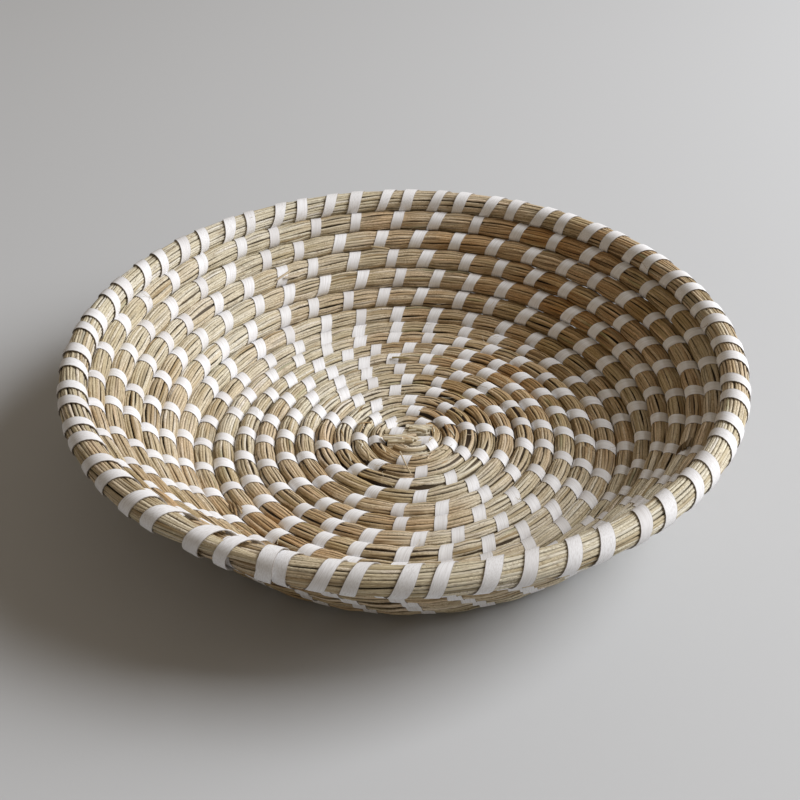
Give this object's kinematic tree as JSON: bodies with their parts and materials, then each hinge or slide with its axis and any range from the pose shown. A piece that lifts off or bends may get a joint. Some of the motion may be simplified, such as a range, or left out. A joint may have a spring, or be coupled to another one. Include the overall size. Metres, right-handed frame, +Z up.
{
  "type": "storage basket",
  "caption": "Shallow round storage basket: one coil of grass bundles spirals from a flat floor up a leaning wall to a rim lashed with a flat strip.",
  "frame": {"origin": "on the middle of the spiral, on the surface that the basket stands on", "axes": "+Z up through the mouth of the basket; the coil grows anticlockwise seen from above and ends at about 250 degrees from +X"},
  "size_m": [0.3024, 0.2991, 0.0661],
  "materials": {
    "seagrass": "dry matte stems",
    "strip": "flat white fibrous strip, slightly satin"
  },
  "bodies": {
    "root": {"floor_bundle_1": "seagrass", "floor_bundle_2": "seagrass", "floor_bundle_3": "seagrass", "floor_bundle_4": "seagrass", "floor_bundle_5": "seagrass", "wall_bundle_1": "seagrass", "wall_bundle_2": "seagrass", "wall_bundle_3": "seagrass", "wall_bundle_4": "seagrass", "wall_bundle_5": "seagrass", "wall_bundle_6": "seagrass", "wall_bundle_7": "seagrass", "rim_bundle": "seagrass", "rim_lashing": "strip"}
  },
  "joints": []
}
